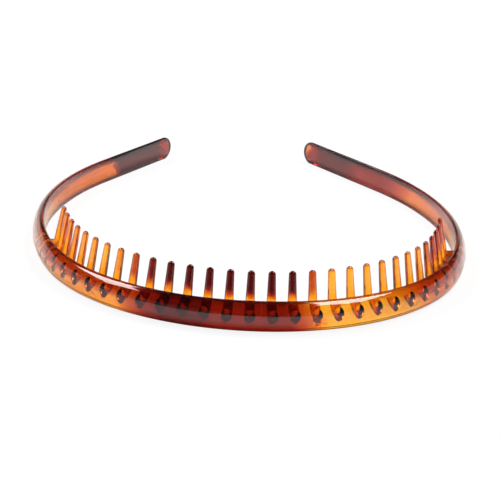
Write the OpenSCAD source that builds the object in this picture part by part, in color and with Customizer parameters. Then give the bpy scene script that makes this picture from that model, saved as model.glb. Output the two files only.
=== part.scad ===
// Toothed headband: a springy half-round band with a row of upright comb teeth inside it.
// The band is one spring. It is split where each side bends most, into a crown and two arms.
// Origin: on the resting plane, midway between the sides and midway between crown and arm tips.
// +Z up (the way the teeth point), -Y towards the crown, +Y towards the open ends.

/* [Band outline] */
// Radius of the band's inner face round the crown
crown_radius = 55; // [50:0.5:60]
// Angle that the crown radius turns through on each side of the middle
crown_angle = 73; // [65:1:80]
// Radius of the inner face along the sides, over the ears
side_radius = 91; // [80:1:110]
// Angle that the side radius turns through
side_angle = 51; // [44:1:56]
// Length of the straight run at each arm's end
arm_straight = 35.5; // [25:0.5:45]

/* [Flex] */
// Teeth between the middle of the crown and the place where each arm flexes
teeth_before_flex = 9; // [5:1:11]

/* [Band section] */
// Height of the band at the crown
crown_height = 7.8; // [6.5:0.1:9]
// Height of the band at the arm ends
tip_height = 6.9; // [6.5:0.1:8]
// Thickness of the band at the crown
crown_thickness = 3.6; // [3:0.1:4.5]
// Thickness of the band at the arm ends
tip_thickness = 2.7; // [2:0.1:3.2]
// Width of the flat run along the lower and upper edges, with the inner rounding
edge_width = 0.8; // [0.8:0.1:1.4]
// Rounding of the two edges of the inner face
inner_rounding = 0.35; // [0.2:0.05:0.5]
// Radius of the rounded corners at the arm ends
tip_rounding = 3; // [1:0.25:3.2]

/* [Teeth] */
// Number of teeth in each half of the band
teeth_per_half = 15; // [6:1:15]
// Distance from tooth to tooth along the inner face
tooth_pitch = 5.6; // [5:0.1:6]
// Height of a tooth's top above the resting plane
tooth_top = 13.9; // [11:0.1:16]
// Height of a tooth's root above the resting plane
root_level = 3.6; // [3:0.1:4.5]
// Diameter of a root where it meets the band
root_diameter = 2.5; // [2:0.1:2.8]
// Distance that a root reaches in before the tooth turns up
root_reach = 2.8; // [2.2:0.1:3.5]
// Diameter of a tooth at the bend
tooth_base_diameter = 2.6; // [2:0.1:2.7]
// Diameter of a tooth at its domed tip
tooth_tip_diameter = 1.9; // [1.2:0.1:2]
// Distance that a tooth leans in from its bend to its tip
tooth_lean = 1.7; // [0:0.1:3]

/* [Hidden] */
band_colour = "#8a3a14";
tooth_colour = "#d07a1c";
corner_steps = 3;       // facets round each edge of the inner face
outer_steps = 14;       // facets round the half-round outer face
tip_steps = 6;          // facets round each corner of an arm end
ring_gap = 6.8;         // longest facet along the plain arms
tooth_facets = 24;
root_neck = 0.9;        // a root's inner end is a little thinner than the bend it runs into
dome_steps = 6;

crown_end = crown_radius * crown_angle * PI / 180;      // distances along the inner face
side_end = crown_end + side_radius * side_angle * PI / 180;
arm_end = side_end + arm_straight;
widest = crown_end + side_radius * (90 - crown_angle) * PI / 180;
flex_place = teeth_before_flex * tooth_pitch;           // midway between two teeth
facet = tooth_pitch / 2;                                // one flat facet at each root and between
toothed_end = (2 * teeth_per_half - 0.5) * facet;
tip_start = arm_end - tip_rounding;
crown_y = -crown_thickness;                             // before the shift to the centred origin
shift_y = -(crown_y + tip_point_y()) / 2;

function tooth_name(number) = str("tooth_", number < 10 ? "0" : "", number);

// Degrees that the inner face has turned through at distance s along it, from the crown's middle
function turned(s) =
    s <= crown_end ? s / crown_radius * 180 / PI
    : crown_angle + (min(s, side_end) - crown_end) / side_radius * 180 / PI;

// Point of the inner face at distance s from the crown's middle, positive to the right
function inner_point(s) =
    let (far = abs(s), now = turned(far), first = min(now, crown_angle), run = max(far - side_end, 0))
    [sign(s) * (crown_radius * sin(first) + side_radius * (sin(now) - sin(first)) + run * cos(now)),
     crown_radius * (1 - cos(first)) + side_radius * (cos(first) - cos(now)) + run * sin(now)];

function outward(s) = [sign(s) * sin(turned(abs(s))), -cos(turned(abs(s)))];

// Taper from crown to arm end
function tapered(crown_value, tip_value, s) =
    crown_value + (tip_value - crown_value) * abs(s) / arm_end;

// How far round the quarter turn of the arm end a section lies, from 0 to 90 degrees
function tip_turn(s) = abs(s) <= tip_start ? 0 : asin(min((abs(s) - tip_start) / tip_rounding, 1));

function tip_point_y() =
    let (full = tapered(crown_thickness, tip_thickness, arm_end), last = inner_point(arm_end))
    last[1] + outward(arm_end)[1] * tip_thickness_at(arm_end, full);

function tip_thickness_at(s, full) = full * (0.6 + 0.4 * cos(tip_turn(s)));

// One closed section: flat inner face, flat narrow edges and a half-round outer face
function section(s) =
    let (trim = tip_rounding * (1 - cos(tip_turn(s))),
         low = trim, high = tapered(crown_height, tip_height, s) - trim,
         half = (high - low) / 2, middle = (high + low) / 2,
         thick = tip_thickness_at(s, tapered(crown_thickness, tip_thickness, s)),
         flat_to = min(edge_width, thick * 0.4), r = min(inner_rounding, half * 0.5))
    concat(
        [for (i = [0 : corner_steps]) let (a = 180 + 90 * i / corner_steps)
            [r + r * cos(a), low + r + r * sin(a)]],
        [for (i = [0 : outer_steps]) let (a = -90 + 180 * i / outer_steps)
            [flat_to + (thick - flat_to) * cos(a), middle + half * sin(a)]],
        [for (i = [0 : corner_steps]) let (a = 90 + 90 * i / corner_steps)
            [r + r * cos(a), high - r + r * sin(a)]]);

function placed(s) =
    let (start = inner_point(s), out = outward(s))
    [for (p = section(s)) [start[0] + out[0] * p[0], start[1] + out[1] * p[0] + shift_y, p[1]]];

function between(from, to) =
    let (count = ceil((to - from) / ring_gap)) [for (i = [1 : count]) from + (to - from) * i / count];

// Where the sections stand: each root has a flat facet centred behind it
root_places = [for (k = [0 : 2 * teeth_per_half - 1]) (k + 0.5) * facet];
crown_places = [for (s = root_places) if (s < flex_place) s];
arm_places = concat(
    [flex_place], [for (s = root_places) if (s > flex_place) s],
    between(toothed_end, widest), between(widest, side_end), between(side_end, tip_start),
    [for (i = [1 : tip_steps]) tip_start + tip_rounding * sin(90 * i / tip_steps)]);

// Stretch of band swept through the sections at these places
module swept(places) {
    rings = [for (s = places) placed(s)];
    size = len(rings[0]);
    last = len(rings) - 1;
    sides = [for (k = [0 : last - 1]) for (i = [0 : size - 1]) let (j = (i + 1) % size)
        each [[k * size + i, (k + 1) * size + i, (k + 1) * size + j],
              [k * size + i, (k + 1) * size + j, k * size + j]]];
    near_cap = [for (i = [0 : size - 1]) i];
    far_cap = [for (i = [size - 1 : -1 : 0]) last * size + i];
    polyhedron(points = [for (ring = rings) each ring], faces = concat(sides, [near_cap, far_cap]));
}

module band_crown() {
    half = concat(crown_places, [flex_place]);
    color(band_colour) swept(concat([for (i = [len(half) - 1 : -1 : 0]) -half[i]], half));
}

module band_left() {
    color(band_colour) mirror([1, 0, 0]) swept(arm_places);
}

module band_right() {
    color(band_colour) swept(arm_places);
}

// Upright part of a tooth: a tapered peg with a round bend and a domed tip, standing on Z
module prong() {
    base_r = tooth_base_diameter / 2;
    tip_r = tooth_tip_diameter / 2;
    rise = tooth_top - root_level - tip_r;
    axis_length = norm([rise, tooth_lean]);
    rotate_extrude($fn = tooth_facets)
        polygon(concat(
            [[0, -base_r]],
            [for (i = [1 : dome_steps]) let (a = -90 + 90 * i / dome_steps)
                [base_r * cos(a), base_r * sin(a)]],
            [for (i = [0 : dome_steps - 1]) let (a = 90 * i / dome_steps)
                [tip_r * cos(a), axis_length + tip_r * sin(a)]],
            [[0, axis_length + tip_r]]));
}

// One tooth with its root face on the XZ plane, pointing in along +Y and up
module tooth_shape() {
    rise = tooth_top - root_level - tooth_tip_diameter / 2;
    translate([0, 0, root_level]) {
        rotate([-90, 0, 0])
            cylinder(h = root_reach, d1 = root_diameter, d2 = root_neck * tooth_base_diameter,
                $fn = tooth_facets);
        translate([0, root_reach, 0]) rotate([-atan2(tooth_lean, rise), 0, 0]) prong();
    }
}

// Teeth are numbered from the left arm round to the right arm
module tooth(number) {
    slot = number - teeth_per_half - 0.5;
    s = abs(slot) * tooth_pitch;
    before = inner_point(s - facet / 2);
    after = inner_point(s + facet / 2);
    seat = (before + after) / 2;
    turn = atan2(after[1] - before[1], after[0] - before[0]);
    color(tooth_colour)
        mirror([slot < 0 ? 1 : 0, 0, 0])
            translate([seat[0], seat[1] + shift_y, 0]) rotate([0, 0, turn]) tooth_shape();
}

band_crown();
band_left();
band_right();
for (number = [1 : 2 * teeth_per_half])
    tooth(number);
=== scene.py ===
import bpy
import math
from functools import partial
from mathutils import Matrix, Vector


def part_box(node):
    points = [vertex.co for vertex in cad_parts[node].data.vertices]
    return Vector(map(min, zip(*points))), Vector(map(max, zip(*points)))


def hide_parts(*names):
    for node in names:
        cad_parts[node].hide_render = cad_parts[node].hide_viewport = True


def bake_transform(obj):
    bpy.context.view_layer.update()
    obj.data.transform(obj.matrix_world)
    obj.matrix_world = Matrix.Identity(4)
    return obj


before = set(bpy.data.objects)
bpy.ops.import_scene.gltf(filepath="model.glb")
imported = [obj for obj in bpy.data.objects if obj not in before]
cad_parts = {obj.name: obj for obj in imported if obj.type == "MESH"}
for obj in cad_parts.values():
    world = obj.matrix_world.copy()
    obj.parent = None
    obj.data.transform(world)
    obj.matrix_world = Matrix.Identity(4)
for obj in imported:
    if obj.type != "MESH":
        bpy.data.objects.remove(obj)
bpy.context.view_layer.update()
mm = 0.001

# The line that the band's inner face follows, crown to arm end, the same on both sides
outline = {
    "Crown Radius": 55 * mm,
    "Crown Angle": math.radians(73),
    "Side Radius": 91 * mm,
    "Side Angle": math.radians(51),
    "Arm Straight": 35.5 * mm,
}
# The band's half-round section, at the crown's middle and at an arm's end
section = {
    "Crown Height": 7.8 * mm,
    "Tip Height": 6.9 * mm,
    "Crown Thickness": 3.6 * mm,
    "Tip Thickness": 2.7 * mm,
    "Edge Width": 0.8 * mm,
    "Tip Rounding": 3.0 * mm,
}
outline["Crown Place"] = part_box("band_crown")[0].y + section["Crown Thickness"]
crownEnd = outline["Crown Radius"] * outline["Crown Angle"]
armEnd = crownEnd + outline["Side Radius"] * outline["Side Angle"] + outline["Arm Straight"]


# Short calls that build node trees: each adds a node and hands back its output
def addNode(tree, kind, **settings):
    node = tree.nodes.new(kind)
    for name, value in settings.items():
        setattr(node, name, value)
    return node


def feed(tree, socket, value):
    if isinstance(value, bpy.types.NodeSocket):
        tree.links.new(value, socket)
    elif value is not None:
        socket.default_value = value


def calc(tree, operation, *values):
    node = addNode(tree, "ShaderNodeMath", operation=operation)
    for socket, value in zip(node.inputs, values):
        feed(tree, socket, value)
    return node.outputs[0]


def between(tree, low, high, share):
    return calc(tree, "MULTIPLY_ADD", calc(tree, "SUBTRACT", high, low), share, low)


def limited(tree, value, low, high):
    return calc(tree, "MINIMUM", calc(tree, "MAXIMUM", value, low), high)


# Pulls a value from -1 to 1 towards its ends, which squares off a circle: a power of 1 leaves it round
def squaredOff(tree, value, power):
    size = calc(tree, "POWER", calc(tree, "ABSOLUTE", value), power)
    return calc(tree, "MULTIPLY", calc(tree, "SIGN", value), size)


def point(tree, x, y, z):
    node = addNode(tree, "ShaderNodeCombineXYZ")
    for socket, value in zip(node.inputs, (x, y, z)):
        feed(tree, socket, value)
    return node.outputs[0]


def vectorCalc(tree, operation, *values):
    node = addNode(tree, "ShaderNodeVectorMath", operation=operation)
    for socket, value in zip(node.inputs, values):
        feed(tree, socket, value)
    return node.outputs[0]


def parts(tree, vector):
    node = addNode(tree, "ShaderNodeSeparateXYZ")
    feed(tree, node.inputs[0], vector)
    return node.outputs


def newTree(name, kind, inputs, outputs):
    tree = bpy.data.node_groups.new(name, kind)
    for label, socketType, value in inputs:
        made = tree.interface.new_socket(label, in_out="INPUT", socket_type=socketType)
        if value is not None:
            made.default_value = value
    for label, socketType in outputs:
        tree.interface.new_socket(label, in_out="OUTPUT", socket_type=socketType)
    return tree, addNode(tree, "NodeGroupInput").outputs, addNode(tree, "NodeGroupOutput").inputs


def floats(values):
    return [(label, "NodeSocketFloat", value) for label, value in values.items()]


def setInput(modifier, label, value):
    for item in modifier.node_group.interface.items_tree:
        if item.item_type == "SOCKET" and item.in_out == "INPUT" and item.name == label:
            modifier[item.identifier] = value


def storeValue(tree, geometry, name, dataType, value, domain="POINT"):
    node = addNode(tree, "GeometryNodeStoreNamedAttribute", data_type=dataType, domain=domain)
    feed(tree, node.inputs["Geometry"], geometry)
    node.inputs["Name"].default_value = name
    feed(tree, node.inputs["Value"], value)
    return node.outputs[0]


def readValue(tree, name, dataType):
    node = addNode(tree, "GeometryNodeInputNamedAttribute", data_type=dataType)
    node.inputs["Name"].default_value = name
    return node.outputs["Attribute"]


# Tube of rings made from a line and a circle: the trees below then put every point in its place
def ringTube(tree, rings, around):
    line = addNode(tree, "GeometryNodeCurvePrimitiveLine")
    line.inputs["End"].default_value = (1, 0, 0)
    resample = addNode(tree, "GeometryNodeResampleCurve")
    feed(tree, resample.inputs["Curve"], line.outputs[0])
    feed(tree, resample.inputs["Count"], rings)
    share = parts(tree, addNode(tree, "GeometryNodeInputPosition").outputs[0])[0]
    spine = storeValue(tree, resample.outputs[0], "ringShare", "FLOAT", share)
    circle = addNode(tree, "GeometryNodeCurvePrimitiveCircle")
    feed(tree, circle.inputs["Resolution"], around)
    circle.inputs["Radius"].default_value = 1
    ring = storeValue(tree, circle.outputs[0], "ringTurn", "FLOAT_VECTOR",
                      addNode(tree, "GeometryNodeInputPosition").outputs[0])
    tube = addNode(tree, "GeometryNodeCurveToMesh")
    feed(tree, tube.inputs["Curve"], spine)
    feed(tree, tube.inputs["Profile Curve"], ring)
    tube.inputs["Fill Caps"].default_value = True
    turn = parts(tree, readValue(tree, "ringTurn", "FLOAT_VECTOR"))
    return tube.outputs[0], readValue(tree, "ringShare", "FLOAT"), turn


# Places the points of a tube and turns its faces outwards
def placed(tree, mesh, position, flip):
    moved = addNode(tree, "GeometryNodeSetPosition")
    feed(tree, moved.inputs["Geometry"], mesh)
    feed(tree, moved.inputs["Position"], position)
    flipped = addNode(tree, "GeometryNodeFlipFaces")
    feed(tree, flipped.inputs["Mesh"], moved.outputs[0])
    feed(tree, flipped.inputs["Selection"], flip)
    return flipped.outputs[0]


# Ends every tree: smooth but for its corners, realized and plastic all over
def closeTree(tree, result, given, mesh):
    smooth = addNode(tree, "GeometryNodeSetShadeSmooth", domain="FACE")
    feed(tree, smooth.inputs["Geometry"], mesh)
    corners = addNode(tree, "GeometryNodeSetShadeSmooth", domain="EDGE")
    feed(tree, corners.inputs["Geometry"], smooth.outputs[0])
    angle = addNode(tree, "GeometryNodeInputMeshEdgeAngle").outputs["Unsigned Angle"]
    feed(tree, corners.inputs["Selection"], calc(tree, "GREATER_THAN", angle, cornerAngle))
    corners.inputs["Shade Smooth"].default_value = False
    realized = addNode(tree, "GeometryNodeRealizeInstances")
    feed(tree, realized.inputs[0], corners.outputs[0])
    painted = addNode(tree, "GeometryNodeSetMaterial")
    feed(tree, painted.inputs["Geometry"], realized.outputs[0])
    feed(tree, painted.inputs["Material"], given["Plastic"])
    feed(tree, result["Geometry"], painted.outputs[0])


# Point and outward direction of the inner face at a distance from the crown's middle
def makeBandLine():
    tree, given, result = newTree(
        "bandLine", "GeometryNodeTree", [("Distance", "NodeSocketFloat", 0.0)] + floats(outline),
        [("Point", "NodeSocketVector"), ("Outward", "NodeSocketVector")])
    do = partial(calc, tree)
    crownRadius, sideRadius = given["Crown Radius"], given["Side Radius"]
    far = do("ABSOLUTE", given["Distance"])
    side = do("SIGN", given["Distance"])
    first = do("MINIMUM", do("DIVIDE", far, crownRadius), given["Crown Angle"])
    pastCrown = do("SUBTRACT", far, do("MULTIPLY", crownRadius, given["Crown Angle"]))
    second = limited(tree, do("DIVIDE", pastCrown, sideRadius), 0.0, given["Side Angle"])
    now = do("ADD", first, second)
    run = do("MAXIMUM", do("SUBTRACT", pastCrown, do("MULTIPLY", sideRadius, given["Side Angle"])), 0.0)
    sinFirst = do("SINE", first)
    cosFirst = do("COSINE", first)
    sinNow = do("SINE", now)
    cosNow = do("COSINE", now)
    across = do("ADD", do("MULTIPLY", crownRadius, sinFirst),
               do("MULTIPLY", sideRadius, do("SUBTRACT", sinNow, sinFirst)))
    across = do("MULTIPLY_ADD", run, cosNow, across)
    along = do("ADD", do("MULTIPLY", crownRadius, do("SUBTRACT", 1.0, cosFirst)),
              do("MULTIPLY", sideRadius, do("SUBTRACT", cosFirst, cosNow)))
    along = do("ADD", do("MULTIPLY_ADD", run, sinNow, along), given["Crown Place"])
    feed(tree, result["Point"], point(tree, do("MULTIPLY", side, across), along, 0.0))
    outward = point(tree, do("MULTIPLY", side, sinNow), do("MULTIPLY", cosNow, -1.0), 0.0)
    feed(tree, result["Outward"], outward)
    return tree


def onBandLine(tree, given, distance):
    node = addNode(tree, "GeometryNodeGroup", node_tree=bandLine)
    feed(tree, node.inputs["Distance"], distance)
    for label in outline:
        feed(tree, node.inputs[label], given[label])
    return node.outputs["Point"], node.outputs["Outward"]


bandLine = makeBandLine()

toothRow = {"Count": 30, "Pitch": 5.6 * mm}

# One tooth, from its root in the band's inner face to its domed tip
toothShape = {
    "Root Level": 3.6 * mm,
    "Root Diameter": 2.45 * mm,
    "Root Reach": 2.8 * mm,
    "Root Start": 0.16 * mm,      # where the tooth's own mesh begins, just clear of its seat
    "Root Flare": 0.11 * mm,      # extra radius where the root spreads into the band
    "Flare Length": 0.3 * mm,
    "Base Diameter": 2.6 * mm,
    "Tip Diameter": 1.9 * mm,
    "Bend Radius": 1.3 * mm,
    "Lean": 1.7 * mm,
    "Top": 13.9 * mm,
    "Flatness": 0.78,             # how thick the peg is for its width
    "Squareness": 0.9,            # power that squares the peg's section, 1 is round
    "Dome End": 0.9999,           # how far round the dome the last ring lies, just short of a point
}
boss = {"Depth": 0.5 * mm, "Height": 0.15 * mm}   # how far a seat goes into the band and stands out of it
joinGap = 0.005 * mm              # keeps faces that meet from lying in each other
cornerAngle = math.radians(60)    # edges sharper than this stay crisp

# How the band's mesh is made and how its section is rounded
bandMesh = {
    "Boss Sides": 40,
    "Rings": 210,
    "Around": 56,
    "Ring Crowding": 1.5,         # above 1 packs the rings towards the arm's end
    "Inner Squareness": 0.33,     # power that squares the ellipse off on the inner side
    "Tip Thinning": 0.4,          # share of the thickness lost at the very end of an arm
    "Flat Share": 0.4,            # most of the thickness that the flat edges may take
}


# Short round seats on the inner face, one for each tooth, whose open ends meet the teeth
def makeBosses(tree, given):
    points = addNode(tree, "GeometryNodePoints")
    feed(tree, points.inputs["Count"], given["Teeth"])
    number = addNode(tree, "GeometryNodeInputIndex").outputs[0]
    distance = calc(tree, "MULTIPLY", calc(tree, "ADD", number, 0.5), given["Tooth Pitch"])
    seat, outward = onBandLine(tree, given, calc(tree, "MULTIPLY", distance, given["Side"]))
    middle = calc(tree, "MULTIPLY", 0.5, calc(tree, "SUBTRACT", given["Boss Depth"], given["Boss Height"]))
    place = vectorCalc(tree, "MULTIPLY_ADD", outward, middle, seat)
    place = vectorCalc(tree, "ADD", place, point(tree, 0.0, 0.0, given["Root Level"]))
    feed(tree, points.inputs["Position"], place)
    cylinder = addNode(tree, "GeometryNodeMeshCylinder", fill_type="NGON")
    feed(tree, cylinder.inputs["Vertices"], given["Boss Sides"])
    feed(tree, cylinder.inputs["Radius"], given["Boss Radius"])
    feed(tree, cylinder.inputs["Depth"], calc(tree, "ADD", given["Boss Depth"], given["Boss Height"]))
    atEnd = cylinder.outputs["Bottom"]
    seatMesh = storeValue(tree, cylinder.outputs["Mesh"], "joinFace", "FLOAT", atEnd, "FACE")
    turn = addNode(tree, "FunctionNodeAlignRotationToVector", axis="Z")
    feed(tree, turn.inputs["Vector"], outward)
    repeated = addNode(tree, "GeometryNodeInstanceOnPoints")
    feed(tree, repeated.inputs["Points"], points.outputs[0])
    feed(tree, repeated.inputs["Instance"], seatMesh)
    feed(tree, repeated.inputs["Rotation"], turn.outputs[0])
    realized = addNode(tree, "GeometryNodeRealizeInstances")
    feed(tree, realized.inputs[0], repeated.outputs[0])
    return realized.outputs[0]


# One side of the band: flat inner face, half-round outer face, tapering to a rounded arm end
def makeBandTree():
    tree, given, result = newTree(
        "bandSide", "GeometryNodeTree",
        [("Side", "NodeSocketFloat", 1.0), ("Arm End", "NodeSocketFloat", armEnd),
         ("Rings", "NodeSocketInt", bandMesh["Rings"]), ("Around", "NodeSocketInt", bandMesh["Around"]),
         ("Ring Crowding", "NodeSocketFloat", bandMesh["Ring Crowding"]),
         ("Inner Squareness", "NodeSocketFloat", bandMesh["Inner Squareness"]),
         ("Tip Thinning", "NodeSocketFloat", bandMesh["Tip Thinning"]),
         ("Flat Share", "NodeSocketFloat", bandMesh["Flat Share"]),
         ("Teeth", "NodeSocketInt", toothRow["Count"] // 2),
         ("Tooth Pitch", "NodeSocketFloat", toothRow["Pitch"]),
         ("Boss Sides", "NodeSocketInt", bandMesh["Boss Sides"]),
         ("Boss Depth", "NodeSocketFloat", boss["Depth"]),
         ("Boss Height", "NodeSocketFloat", boss["Height"]),
         ("Boss Radius", "NodeSocketFloat", toothShape["Root Diameter"] / 2 + toothShape["Root Flare"]),
         ("Root Level", "NodeSocketFloat", toothShape["Root Level"]),
         ("Plastic", "NodeSocketMaterial", None)]
        + floats(outline) + floats(section),
        [("Geometry", "NodeSocketGeometry")])
    do = partial(calc, tree)
    tube, share, turn = ringTube(tree, given["Rings"], given["Around"])
    left = do("POWER", do("SUBTRACT", 1.0, share), given["Ring Crowding"])
    far = do("MULTIPLY", given["Arm End"], do("SUBTRACT", 1.0, left))
    seat, outward = onBandLine(tree, given, do("MULTIPLY", do("MAXIMUM", far, joinGap), given["Side"]))
    taper = do("DIVIDE", far, given["Arm End"])
    rounding = given["Tip Rounding"]
    intoTip = do("SUBTRACT", far, do("SUBTRACT", given["Arm End"], rounding))
    tipShare = limited(tree, do("DIVIDE", intoTip, rounding), 0.0, 1.0)
    tipCos = do("SQRT", do("MAXIMUM", do("SUBTRACT", 1.0, do("MULTIPLY", tipShare, tipShare)), 0.0))
    trim = do("MULTIPLY", rounding, do("SUBTRACT", 1.0, tipCos))
    fullHeight = between(tree, given["Crown Height"], given["Tip Height"], taper)
    halfHeight = do("MULTIPLY", 0.5, do("SUBTRACT", fullHeight, do("MULTIPLY", 2.0, trim)))
    middle = do("MULTIPLY", 0.5, fullHeight)
    thinning = do("SUBTRACT", 1.0, do("MULTIPLY", given["Tip Thinning"], do("SUBTRACT", 1.0, tipCos)))
    thick = do("MULTIPLY", between(tree, given["Crown Thickness"], given["Tip Thickness"], taper), thinning)
    flat = do("MINIMUM", given["Edge Width"], do("MULTIPLY", thick, given["Flat Share"]))
    cosTurn, sinTurn = turn[0], turn[1]
    isOuter = do("GREATER_THAN", cosTurn, 0.0)
    outerOut = do("MULTIPLY_ADD", do("SUBTRACT", thick, flat), cosTurn, flat)
    squareCos = do("POWER", do("ABSOLUTE", cosTurn), given["Inner Squareness"])
    innerOut = do("MULTIPLY", flat, do("SUBTRACT", 1.0, squareCos))
    squareSin = squaredOff(tree, sinTurn, given["Inner Squareness"])
    out = between(tree, innerOut, outerOut, isOuter)
    up = do("MULTIPLY_ADD", halfHeight, between(tree, squareSin, sinTurn, isOuter), middle)
    level = point(tree, 0.0, 0.0, up)
    place = vectorCalc(tree, "ADD", vectorCalc(tree, "MULTIPLY_ADD", outward, out, seat), level)
    bandPlace = point(tree, do("MULTIPLY", far, given["Side"]), up, out)
    marked = storeValue(tree, tube, "bandPlace", "FLOAT_VECTOR", bandPlace)
    side = placed(tree, marked, place, do("GREATER_THAN", given["Side"], 0.0))
    middleX = do("ABSOLUTE", parts(tree, addNode(tree, "GeometryNodeInputPosition").outputs[0])[0])
    atMiddle = do("LESS_THAN", middleX, do("MULTIPLY", joinGap, 2.0))
    side = storeValue(tree, side, "joinFace", "FLOAT", atMiddle, "FACE")
    union = addNode(tree, "GeometryNodeMeshBoolean", operation="UNION", solver="EXACT")
    for mesh in (makeBosses(tree, given), side):
        tree.links.new(mesh, union.inputs["Mesh 2"])
    # New corners made by the union read their place on the band from the plain side
    nearest = addNode(tree, "GeometryNodeSampleNearestSurface", data_type="FLOAT_VECTOR")
    feed(tree, nearest.inputs["Mesh"], side)
    feed(tree, nearest.inputs["Value"], readValue(tree, "bandPlace", "FLOAT_VECTOR"))
    joined = storeValue(tree, union.outputs["Mesh"], "bandPlace", "FLOAT_VECTOR", nearest.outputs["Value"])
    closeTree(tree, result, given, joined)
    return tree


toothMesh = {"Rings": 72, "Around": 28, "Ring Crowding": 1.4}


# One tooth: a root out of the band's inner face, a bend, and a tapered peg with a domed tip
def makeToothTree():
    tree, given, result = newTree(
        "combTooth", "GeometryNodeTree",
        [("Distance", "NodeSocketFloat", 0.0),
         ("Rings", "NodeSocketInt", toothMesh["Rings"]), ("Around", "NodeSocketInt", toothMesh["Around"]),
         ("Ring Crowding", "NodeSocketFloat", toothMesh["Ring Crowding"]),
         ("Plastic", "NodeSocketMaterial", None)]
        + floats(outline) + floats(toothShape),
        [("Geometry", "NodeSocketGeometry")])
    do = partial(calc, tree)
    tube, share, turn = ringTube(tree, given["Rings"], given["Around"])
    tipRadius = do("MULTIPLY", given["Tip Diameter"], 0.5)
    baseRadius = do("MULTIPLY", given["Base Diameter"], 0.5)
    rootRadius = do("MULTIPLY", given["Root Diameter"], 0.5)
    bend = given["Bend Radius"]
    rise = do("SUBTRACT", do("SUBTRACT", given["Top"], given["Root Level"]), tipRadius)
    bendAngle = do("ARCTAN2", rise, given["Lean"])
    corner = do("MULTIPLY", bend, do("TANGENT", do("MULTIPLY", bendAngle, 0.5)))
    rootRun = do("SUBTRACT", do("SUBTRACT", given["Root Reach"], corner), given["Root Start"])
    bendRun = do("MULTIPLY", bend, bendAngle)
    slope = do("ADD", do("MULTIPLY", rise, rise), do("MULTIPLY", given["Lean"], given["Lean"]))
    pegRun = do("SUBTRACT", do("SQRT", slope), corner)
    length = do("ADD", do("ADD", do("ADD", rootRun, bendRun), pegRun), tipRadius)
    left = do("POWER", do("SUBTRACT", 1.0, share), given["Ring Crowding"])
    far = do("MULTIPLY", length, do("SUBTRACT", 1.0, left))
    straight = do("MINIMUM", far, rootRun)
    angle = limited(tree, do("DIVIDE", do("SUBTRACT", far, rootRun), bend), 0.0, bendAngle)
    run = do("MAXIMUM", do("SUBTRACT", do("SUBTRACT", far, rootRun), bendRun), 0.0)
    sinAngle, cosAngle = do("SINE", angle), do("COSINE", angle)
    reach = do("ADD", do("ADD", straight, given["Root Start"]), do("MULTIPLY", bend, sinAngle))
    reach = do("MULTIPLY_ADD", run, cosAngle, reach)
    level = do("MULTIPLY_ADD", bend, do("SUBTRACT", 1.0, cosAngle), given["Root Level"])
    level = do("MULTIPLY_ADD", run, sinAngle, level)
    # Radius: root to bend, bend to tip, the flare at the band and the dome at the tip
    toBend = limited(tree, do("DIVIDE", far, do("ADD", rootRun, do("MULTIPLY", bendRun, 0.5))), 0.0, 1.0)
    toTip = limited(tree, do("DIVIDE", do("SUBTRACT", far, rootRun), do("ADD", bendRun, pegRun)), 0.0, 1.0)
    radius = between(tree, rootRadius, baseRadius, toBend)
    radius = do("SUBTRACT", radius, do("MULTIPLY", do("SUBTRACT", baseRadius, tipRadius), toTip))
    spread = do("EXPONENT", do("MULTIPLY", -1.0, do("DIVIDE", far, given["Flare Length"])))
    radius = do("MULTIPLY_ADD", given["Root Flare"], spread, radius)
    intoDome = do("SUBTRACT", far, do("SUBTRACT", length, tipRadius))
    dome = limited(tree, do("DIVIDE", intoDome, tipRadius), 0.0, given["Dome End"])
    radius = do("MULTIPLY", radius, do("SQRT", do("SUBTRACT", 1.0, do("MULTIPLY", dome, dome))))
    # Ring points, across the tooth and in its upright plane
    seat, outward = onBandLine(tree, given, given["Distance"])
    outX, outY = parts(tree, outward)[:2]
    power = between(tree, 1.0, given["Squareness"], toBend)
    across = do("MULTIPLY", radius, squaredOff(tree, turn[0], power))
    flatness = between(tree, 1.0, given["Flatness"], toBend)
    upright = do("MULTIPLY", do("MULTIPLY", radius, squaredOff(tree, turn[1], power)), flatness)
    inwards = do("SUBTRACT", reach, do("MULTIPLY", upright, sinAngle))
    height = do("MULTIPLY_ADD", upright, cosAngle, level)
    x = do("SUBTRACT", do("MULTIPLY", across, do("MULTIPLY", outY, -1.0)), do("MULTIPLY", inwards, outX))
    y = do("SUBTRACT", do("MULTIPLY", across, outX), do("MULTIPLY", inwards, outY))
    place = vectorCalc(tree, "ADD", seat, point(tree, x, y, height))
    bandPlace = point(tree, do("ADD", given["Distance"], across), height, do("MULTIPLY", inwards, -1.0))
    marked = storeValue(tree, tube, "bandPlace", "FLOAT_VECTOR", bandPlace)
    atRoot = do("LESS_THAN", far, joinGap)
    marked = storeValue(tree, placed(tree, marked, place, True), "joinFace", "FLOAT", atRoot, "FACE")
    closeTree(tree, result, given, marked)
    return tree


# Runs a tree on an empty object and keeps the result as a plain mesh at the origin
def build(name, tree, values):
    carrier = bpy.data.objects.new(name, bpy.data.meshes.new(name + "Start"))
    bpy.context.scene.collection.objects.link(carrier)
    modifier = carrier.modifiers.new("shape", "NODES")
    modifier.node_group = tree
    for label, value in values.items():
        setInput(modifier, label, value)
    evaluated = carrier.evaluated_get(bpy.context.evaluated_depsgraph_get())
    mesh = bpy.data.meshes.new_from_object(evaluated)
    carrier.modifiers.remove(modifier)
    carrier.data = mesh
    mesh.name = name
    return carrier


# Moulded tortoiseshell plastic: how it bends light, and the tint that deepens with its thickness
plastic = {
    "Roughness": 0.05,
    "IOR": 1.53,
    "Depth Colour": (0.94, 0.70, 0.10, 1),
    "Depth Density": 440.0,
    "Wave Height": 0.02 * mm,
    "Wave Strength": 0.5,
}

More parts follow.
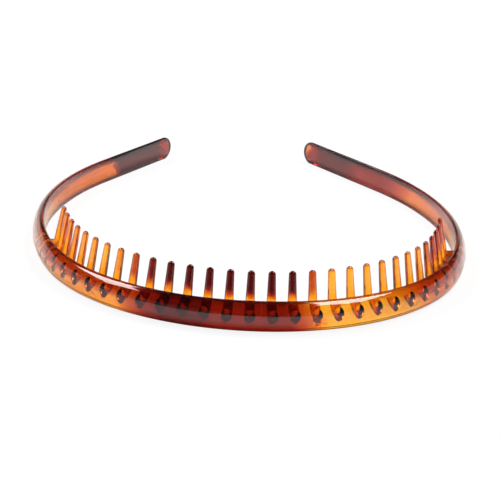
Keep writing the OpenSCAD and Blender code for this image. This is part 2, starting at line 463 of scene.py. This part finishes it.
# Colour of the plastic for how much dye it holds, from clear honey to almost black
dyeColours = {
    0.0: (0.95, 0.60, 0.09, 1),
    0.15: (0.93, 0.37, 0.03, 1),
    0.35: (0.60, 0.155, 0.010, 1),
    0.6: (0.42, 0.045, 0.005, 1),
    0.8: (0.22, 0.010, 0.003, 1),
    1.0: (0.07, 0.002, 0.001, 1),
}

# Painted shade at the rims, darker towards edge-on, standing in for the dark outlines of refraction and
# long paths: where it starts and how far it takes to deepen, 0 is face-on and 1 edge-on
bandPaintedRimShade = {"Start": 0.42, "Length": 0.58, "Depth": 0.85, "Colour": (0.07, 0.002, 0.001, 1)}
toothPaintedRimShade = {"Start": 0.2, "Length": 0.35, "Depth": 0.9, "Colour": (0.20, 0.012, 0.003, 1)}

# Dyed patches, in mm along the band from the crown's middle: where each starts and ends and how softly.
# Slant leans the two ends, Wander wavers them, and Above keeps a patch to the band's upper part.
bandPatches = {
    "crown": {"From": -34, "Fade In": 14, "To": 11, "Fade Out": 12, "Strength": 0.84, "Slant": -0.35},
    "crownCore": {"From": -29, "Fade In": 10, "To": -6, "Fade Out": 20, "Strength": 0.96},
    "leftShoulder": {"From": -62, "Fade In": 12, "To": -34, "Fade Out": 6, "Strength": 0.08},
    "leftArm": {"From": -170, "Fade In": 10, "To": -118, "Fade Out": 24, "Strength": 0.33},
    "leftEnd": {"From": -184, "Fade In": 4, "To": -157, "Fade Out": 2.5, "Strength": 1.0, "Slant": 0.57,
                "Wander": 9},
    "leftTip": {"From": -195, "Fade In": 2, "To": -170, "Fade Out": 4, "Strength": 0.75},
    "rightShoulder": {"From": 46, "Fade In": 14, "To": 60, "Fade Out": 8, "Strength": 0.25},
    "rightArm": {"From": 104, "Fade In": 20, "To": 195, "Fade Out": 2, "Strength": 0.3},
    "rightEnd": {"From": 136, "Fade In": 24, "To": 185, "Fade Out": 3, "Strength": 0.8, "Slant": -0.8},
    "rightCore": {"From": 158, "Fade In": 18, "To": 182, "Fade Out": 5, "Strength": 0.97},
    "leftUpper": {"From": -72, "Fade In": 8, "To": -30, "Fade Out": 10, "Strength": 0.62, "Above": 3.8},
    "rightUpper": {"From": 40, "Fade In": 14, "To": 74, "Fade Out": 8, "Strength": 0.6, "Above": 3.8},
}
toothPatches = {
    "middle": {"From": -36, "Fade In": 24, "To": 13.5, "Fade Out": 12, "Strength": 0.97},
    "right": {"From": 58.5, "Fade In": 10, "To": 95, "Fade Out": 5, "Strength": 0.5},
    "left": {"From": -95, "Fade In": 5, "To": -60, "Fade Out": 16, "Strength": 0.12},
}
# Where the dark teeth turn amber going down, are darker again inside the band, and the painted shade that
# darkens every tip
toothFade = {
    "Level": 7.9 * mm,
    "Length": 3.2 * mm,
    "Drift": 3 * mm,
    "Root": 4.2 * mm,
    "Root Length": 1.0 * mm,
    "Root Dye": 0.75,
    "Least": 0.1,
    "Tip": 13.0 * mm,
    "Tip Length": 0.7 * mm,
    "Tip Painted Shade": 0.62,
}
# Short dark flow lines where two colours met in the mould: middle and half length in mm
flowMarks = {"right": (14, 2.4), "left": (-45, 2.2), "leftArm": (-122, 2.0)}
flowShape = {"Scale": 420.0, "Detail": 3.0, "Width": 0.035, "Fade From": 2.16 * mm, "Fade Length": 3.6 * mm,
             "Strength": 0.75}


def smoothStep(tree, value, start, length):
    share = limited(tree, calc(tree, "DIVIDE", calc(tree, "SUBTRACT", value, start), length), 0.0, 1.0)
    bend = calc(tree, "SUBTRACT", 3.0, calc(tree, "MULTIPLY", share, 2.0))
    return calc(tree, "MULTIPLY", calc(tree, "MULTIPLY", share, share), bend)


# How fine each kind of noise is along the band, up it and through it, per metre, and its detail
grain = {
    "patchDrift": ((130, 330, 200), 2.0),
    "streaks": ((60, 900, 500), 3.0),
    "clouds": ((90, 160, 120), 2.0),
    "waves": ((90, 420, 420), 2.0),
    "lines": ((120, 2600, 1500), 2.0),
    "wear": ((260, 1400, 900), 4.0),
    "toothDrift": ((500, 300, 300), 2.0),
}


def noiseOn(tree, place, kind):
    stretch, detail = grain[kind]
    node = addNode(tree, "ShaderNodeTexNoise")
    feed(tree, node.inputs["Vector"], vectorCalc(tree, "MULTIPLY", place, stretch))
    node.inputs["Scale"].default_value = 1.0
    node.inputs["Detail"].default_value = detail
    return node.outputs["Fac"]


# Mask of one dyed patch, with ends that wander as molten plastic does
def makePatchGroup():
    tree, given, result = newTree(
        "dyedPatch", "ShaderNodeTree",
        [("Place", "NodeSocketVector", None)]
        + floats({"From": 0.0, "Fade In": 0.01, "To": 0.02, "Fade Out": 0.01, "Strength": 1.0, "Slant": 0.0,
                  "Above": -10 * mm, "Above Fade": 1.4 * mm, "Wander": 3 * mm}),
        [("Mask", "NodeSocketFloat")])
    along, level = parts(tree, given["Place"])[:2]
    drift = calc(tree, "SUBTRACT", noiseOn(tree, given["Place"], "patchDrift"), 0.5)
    raised = calc(tree, "SUBTRACT", level, section["Crown Height"] / 2)
    lean = calc(tree, "MULTIPLY", raised, given["Slant"])
    along = calc(tree, "SUBTRACT", calc(tree, "MULTIPLY_ADD", drift, given["Wander"], along), lean)
    half = calc(tree, "MULTIPLY", given["Fade In"], 0.5)
    inside = smoothStep(tree, along, calc(tree, "SUBTRACT", given["From"], half), given["Fade In"])
    half = calc(tree, "MULTIPLY", given["Fade Out"], 0.5)
    past = smoothStep(tree, along, calc(tree, "SUBTRACT", given["To"], half), given["Fade Out"])
    mask = calc(tree, "MULTIPLY", inside, calc(tree, "SUBTRACT", 1.0, past))
    wavering = calc(tree, "MULTIPLY_ADD", drift, given["Wander"], level)
    mask = calc(tree, "MULTIPLY", mask, smoothStep(tree, wavering, given["Above"], given["Above Fade"]))
    feed(tree, result["Mask"], calc(tree, "MULTIPLY", mask, given["Strength"]))
    return tree


# Mask of a few thin wavering flow lines in the lower part of the band
def makeFlowGroup():
    tree, given, result = newTree(
        "flowLines", "ShaderNodeTree",
        [("Place", "NodeSocketVector", None)]
        + floats({"Middle": 0.0, "Half Length": 2 * mm}) + floats(flowShape),
        [("Mask", "NodeSocketFloat")])
    along, level = parts(tree, given["Place"])[:2]
    flow = addNode(tree, "ShaderNodeTexNoise")
    feed(tree, flow.inputs["Vector"], given["Place"])
    feed(tree, flow.inputs["Scale"], given["Scale"])
    feed(tree, flow.inputs["Detail"], given["Detail"])
    away = calc(tree, "ABSOLUTE", calc(tree, "SUBTRACT", flow.outputs["Fac"], 0.5))
    line = calc(tree, "SUBTRACT", 1.0, smoothStep(tree, away, 0.0, given["Width"]))
    reach = calc(tree, "ABSOLUTE", calc(tree, "SUBTRACT", along, given["Middle"]))
    near = calc(tree, "SUBTRACT", 1.0, smoothStep(tree, reach, 0.0, given["Half Length"]))
    low = calc(tree, "SUBTRACT", 1.0, smoothStep(tree, level, given["Fade From"], given["Fade Length"]))
    mask = calc(tree, "MULTIPLY", calc(tree, "MULTIPLY", line, near), low)
    feed(tree, result["Mask"], calc(tree, "MULTIPLY", mask, given["Strength"]))
    return tree


# Turns an amount of dye into the plastic's colour, with the faint streaks of its flow
def makeDyeGroup():
    tree, given, result = newTree(
        "dyedPlastic", "ShaderNodeTree",
        [("Place", "NodeSocketVector", None)] + floats({"Dye": 0.0, "Streaks": 0.16, "Clouds": 0.14}),
        [("Color", "NodeSocketColor")])
    streak = calc(tree, "SUBTRACT", noiseOn(tree, given["Place"], "streaks"), 0.5)
    cloud = calc(tree, "SUBTRACT", noiseOn(tree, given["Place"], "clouds"), 0.5)
    dye = calc(tree, "MULTIPLY_ADD", streak, given["Streaks"], given["Dye"])
    dye = calc(tree, "MULTIPLY_ADD", cloud, given["Clouds"], dye)
    ramp = addNode(tree, "ShaderNodeValToRGB")
    stops = ramp.color_ramp.elements
    stops[0].color = dyeColours[0.0]
    stops[-1].color = dyeColours[1.0]
    for place in sorted(dyeColours)[1:-1]:
        stops.new(place).color = dyeColours[place]
    feed(tree, ramp.inputs["Fac"], dye)
    feed(tree, result["Color"], ramp.outputs["Color"])
    return tree


# Fine waves and handling marks of a moulded face
def makeMouldedGroup():
    tree, given, result = newTree(
        "mouldedFace", "ShaderNodeTree",
        [("Place", "NodeSocketVector", None)] + floats({"Roughness": 0.05, "Spread": 0.05}),
        [("Height", "NodeSocketFloat"), ("Roughness", "NodeSocketFloat")])
    waves = noiseOn(tree, given["Place"], "waves")
    lines = noiseOn(tree, given["Place"], "lines")
    feed(tree, result["Height"], calc(tree, "MULTIPLY_ADD", lines, 0.25, waves))
    wear = smoothStep(tree, noiseOn(tree, given["Place"], "wear"), 0.4, 0.4)
    feed(tree, result["Roughness"], calc(tree, "MULTIPLY_ADD", wear, given["Spread"], given["Roughness"]))
    return tree


def mixColour(tree, share, first, second):
    node = addNode(tree, "ShaderNodeMix", data_type="RGBA")
    feed(tree, node.inputs["Factor"], share)
    feed(tree, node.inputs["A"], first)
    feed(tree, node.inputs["B"], second)
    return node.outputs["Result"]


def newMaterial(name):
    material = bpy.data.materials.new(name)
    material.use_nodes = True
    tree = material.node_tree
    tree.nodes.clear()
    output = addNode(tree, "ShaderNodeOutputMaterial")
    shader = addNode(tree, "ShaderNodeBsdfPrincipled")
    tree.links.new(shader.outputs[0], output.inputs["Surface"])
    return material, tree, shader, output


def placeGroup(tree, group, place, values):
    node = addNode(tree, "ShaderNodeGroup", node_tree=group)
    feed(tree, node.inputs["Place"], place)
    for label, value in values.items():
        feed(tree, node.inputs[label], value)
    return node.outputs


# The most dye that any of the patches puts at a place
def dyeOf(tree, place, patches):
    lengths = ("From", "Fade In", "To", "Fade Out", "Wander", "Above")
    dye = 0.0
    for patch in patches.values():
        values = {label: value * mm if label in lengths else value for label, value in patch.items()}
        dye = calc(tree, "MAXIMUM", dye, placeGroup(tree, patchGroup, place, values)["Mask"])
    return dye


# Clear dyed plastic: painted shade at its rim, tinted by its depth, open where one piece is fused to the
# next
def finishPlastic(tree, shader, output, place, dye, paintedRimShade):
    colour = placeGroup(tree, dyeGroup, place, {"Dye": dye})["Color"]
    # Painted shade: the base colour turns to the dark rim colour as the face turns edge-on
    facing = addNode(tree, "ShaderNodeLayerWeight").outputs["Facing"]
    share = calc(tree, "MULTIPLY", smoothStep(tree, facing, paintedRimShade["Start"], paintedRimShade["Length"]), paintedRimShade["Depth"])
    feed(tree, shader.inputs["Base Color"], mixColour(tree, share, colour, paintedRimShade["Colour"]))
    face = placeGroup(tree, mouldedGroup, place, {"Roughness": plastic["Roughness"]})
    feed(tree, shader.inputs["Roughness"], face["Roughness"])
    bump = addNode(tree, "ShaderNodeBump")
    bump.inputs["Strength"].default_value = plastic["Wave Strength"]
    bump.inputs["Distance"].default_value = plastic["Wave Height"]
    feed(tree, bump.inputs["Height"], face["Height"])
    feed(tree, shader.inputs["Normal"], bump.outputs[0])
    shader.inputs["IOR"].default_value = plastic["IOR"]
    shader.inputs["Transmission Weight"].default_value = 1.0
    join = addNode(tree, "ShaderNodeAttribute", attribute_name="joinFace").outputs["Fac"]
    feed(tree, shader.inputs["Alpha"], calc(tree, "SUBTRACT", 1.0, join))
    depth = addNode(tree, "ShaderNodeVolumeAbsorption")
    depth.inputs["Color"].default_value = plastic["Depth Colour"]
    depth.inputs["Density"].default_value = plastic["Depth Density"]
    tree.links.new(depth.outputs[0], output.inputs["Volume"])


def makeBandPlastic():
    material, tree, shader, output = newMaterial("tortoiseBand")
    place = addNode(tree, "ShaderNodeAttribute", attribute_name="bandPlace").outputs["Vector"]
    dye = dyeOf(tree, place, bandPatches)
    for middle, halfLength in flowMarks.values():
        values = {"Middle": middle * mm, "Half Length": halfLength * mm}
        dye = calc(tree, "ADD", dye, placeGroup(tree, flowGroup, place, values)["Mask"])
    finishPlastic(tree, shader, output, place, dye, bandPaintedRimShade)
    return material


def makeToothPlastic():
    material, tree, shader, output = newMaterial("tortoiseTooth")
    place = addNode(tree, "ShaderNodeAttribute", attribute_name="bandPlace").outputs["Vector"]
    dye = dyeOf(tree, place, toothPatches)
    drift = calc(tree, "MULTIPLY_ADD", noiseOn(tree, place, "toothDrift"), toothFade["Drift"],
                 -toothFade["Drift"] / 2)
    level = calc(tree, "ADD", parts(tree, place)[1], drift)
    start = toothFade["Level"] - toothFade["Length"] / 2
    peg = smoothStep(tree, level, start, toothFade["Length"])
    root = calc(tree, "SUBTRACT", 1.0, smoothStep(tree, level, toothFade["Root"], toothFade["Root Length"]))
    root = calc(tree, "MULTIPLY", root, toothFade["Root Dye"])
    dye = calc(tree, "MULTIPLY_ADD", dye, calc(tree, "MAXIMUM", peg, root), toothFade["Least"])
    # Painted shade: every tooth darkens over its top, standing in for the dark outline round the tip
    tip = smoothStep(tree, parts(tree, place)[1], toothFade["Tip"], toothFade["Tip Length"])
    dye = calc(tree, "MAXIMUM", dye, calc(tree, "MULTIPLY", tip, toothFade["Tip Painted Shade"]))
    finishPlastic(tree, shader, output, place, dye, toothPaintedRimShade)
    return material


patchGroup = makePatchGroup()
flowGroup = makeFlowGroup()
dyeGroup = makeDyeGroup()
mouldedGroup = makeMouldedGroup()
bandPlastic = makeBandPlastic()
toothPlastic = makeToothPlastic()
print("materials made")

# The band's two sides: the sign that mirrors each, and the name of its arm
arms = {"left": (-1.0, "left_arm"), "right": (1.0, "right_arm")}
bandTree = makeBandTree()
toothTree = makeToothTree()


def bendWith(piece):
    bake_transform(piece)


for label, (side, arm) in arms.items():
    piece = build(f"band_{label}_side", bandTree, {"Side": side, "Plastic": bandPlastic})
    bendWith(piece)
    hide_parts(f"band_{label}", "band_crown")
print("band made")

for number in range(1, toothRow["Count"] + 1):
    distance = (number - toothRow["Count"] / 2 - 0.5) * toothRow["Pitch"]
    piece = build(f"comb_tooth_{number:02d}", toothTree, {"Distance": distance, "Plastic": toothPlastic})
    bendWith(piece)
    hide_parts(f"tooth_{number:02d}")
print("teeth made")

studio = {
    "floorSize": 6.0,
    "floorColour": (0.95, 0.95, 0.95, 1),
    "floorRoughness": 0.9,
    "floorGlow": 0.9,             # share of plain white that the eye sees, which hides the shadows
    "backdropTop": math.radians(12),   # where the white backdrop behind the object ends
    "backdropFade": math.radians(7),
    "backdropSpread": (2.0, 0.3),      # how fast it brightens going back, and how bright it is at the sides
    "roomGrey": 0.03,
    "sideGrey": 0.35,
    "softboxes": {
        "left": {"azimuth": -60, "elevation": 50, "distance": 1.0, "size": (0.8, 0.3), "radiance": 11.0},
        "right": {"azimuth": 75, "elevation": 62, "distance": 1.0, "size": (0.8, 0.34), "radiance": 11.0},
    },
}


def makeFloor():
    mesh = bpy.data.meshes.new("floor")
    half = studio["floorSize"] / 2
    corners = [(-half, -half, 0), (half, -half, 0), (half, half, 0), (-half, half, 0)]
    mesh.from_pydata(corners, [], [(0, 1, 2, 3)])
    floor = bpy.data.objects.new("floor", mesh)
    bpy.context.scene.collection.objects.link(floor)
    material, tree, shader, output = newMaterial("floorPaint")
    shader.inputs["Base Color"].default_value = studio["floorColour"]
    shader.inputs["Roughness"].default_value = studio["floorRoughness"]
    shader.inputs["Specular IOR Level"].default_value = 0.0
    glow = addNode(tree, "ShaderNodeEmission")
    mix = addNode(tree, "ShaderNodeMixShader")
    eye = addNode(tree, "ShaderNodeLightPath").outputs["Is Camera Ray"]
    feed(tree, mix.inputs[0], calc(tree, "MULTIPLY", eye, studio["floorGlow"]))
    tree.links.new(shader.outputs[0], mix.inputs[1])
    tree.links.new(glow.outputs[0], mix.inputs[2])
    tree.links.new(mix.outputs[0], output.inputs["Surface"])
    mesh.materials.append(material)


# A low white backdrop behind, a dim room all round, white where the eye itself looks
def makeSky():
    world = bpy.data.worlds.new("studioSky")
    bpy.context.scene.world = world
    world.use_nodes = True
    tree = world.node_tree
    do = partial(calc, tree)
    background = tree.nodes["Background"]
    background.inputs["Color"].default_value = (1, 1, 1, 1)
    direction = addNode(tree, "ShaderNodeTexCoord").outputs["Generated"]
    x, y, z = parts(tree, direction)
    height = do("ARCSINE", z)
    top = studio["backdropTop"] + studio["backdropFade"]
    low = limited(tree, do("DIVIDE", do("SUBTRACT", top, height), studio["backdropFade"]), 0.0, 1.0)
    behind = limited(tree, do("MULTIPLY_ADD", y, *studio["backdropSpread"]), 0.0, 1.0)
    backdrop = do("MULTIPLY", low, behind)
    sides = do("MULTIPLY", do("MULTIPLY", do("ABSOLUTE", x), low), studio["sideGrey"])
    light = do("ADD", do("MAXIMUM", backdrop, sides), studio["roomGrey"])
    eye = addNode(tree, "ShaderNodeLightPath").outputs["Is Camera Ray"]
    feed(tree, background.inputs["Strength"], do("MAXIMUM", light, eye))


def makeSoftboxes():
    for label, box in studio["softboxes"].items():
        lamp = bpy.data.lights.new("softbox" + label.title(), "AREA")
        lamp.shape = "RECTANGLE"
        lamp.size, lamp.size_y = box["size"]
        lamp.energy = box["radiance"] * math.pi * lamp.size * lamp.size_y
        placed = bpy.data.objects.new(lamp.name, lamp)
        bpy.context.scene.collection.objects.link(placed)
        azimuth, elevation = math.radians(box["azimuth"]), math.radians(box["elevation"])
        flat = math.cos(elevation)
        away = Vector((flat * math.sin(azimuth), flat * math.cos(azimuth), math.sin(elevation)))
        placed.location = away * box["distance"]
        placed.rotation_euler = away.to_track_quat("Z", "Y").to_euler()


camera = {
    "target": (0.0002, -0.0123, 0.0),
    "distance": 0.5344,
    "elevation": 19.34,
    "azimuth": -3.57,
    "roll": -2.88,
    "lens": 139.5,
    "sensor": 36,
    "clip": (0.01, 20),
}


def makeCamera():
    data = bpy.data.cameras.new("camera")
    data.lens = camera["lens"]
    data.sensor_width = camera["sensor"]
    data.clip_start, data.clip_end = camera["clip"]
    placed = bpy.data.objects.new("camera", data)
    bpy.context.scene.collection.objects.link(placed)
    elevation, azimuth = math.radians(camera["elevation"]), math.radians(camera["azimuth"])
    roll = math.radians(camera["roll"])
    flat = math.cos(elevation)
    back = Vector((math.sin(azimuth) * flat, -math.cos(azimuth) * flat, math.sin(elevation)))
    right = Vector((math.cos(azimuth), math.sin(azimuth), 0))
    up = back.cross(right)
    turnedRight = right * math.cos(roll) - up * math.sin(roll)
    turnedUp = right * math.sin(roll) + up * math.cos(roll)
    turn = Matrix((turnedRight, turnedUp, back)).transposed().to_4x4()
    placed.matrix_world = Matrix.Translation(Vector(camera["target"]) + back * camera["distance"]) @ turn
    bpy.context.scene.camera = placed


makeFloor()
makeSky()
makeSoftboxes()
makeCamera()
bpy.context.scene.view_settings.view_transform = "Standard"
print("studio and camera made")
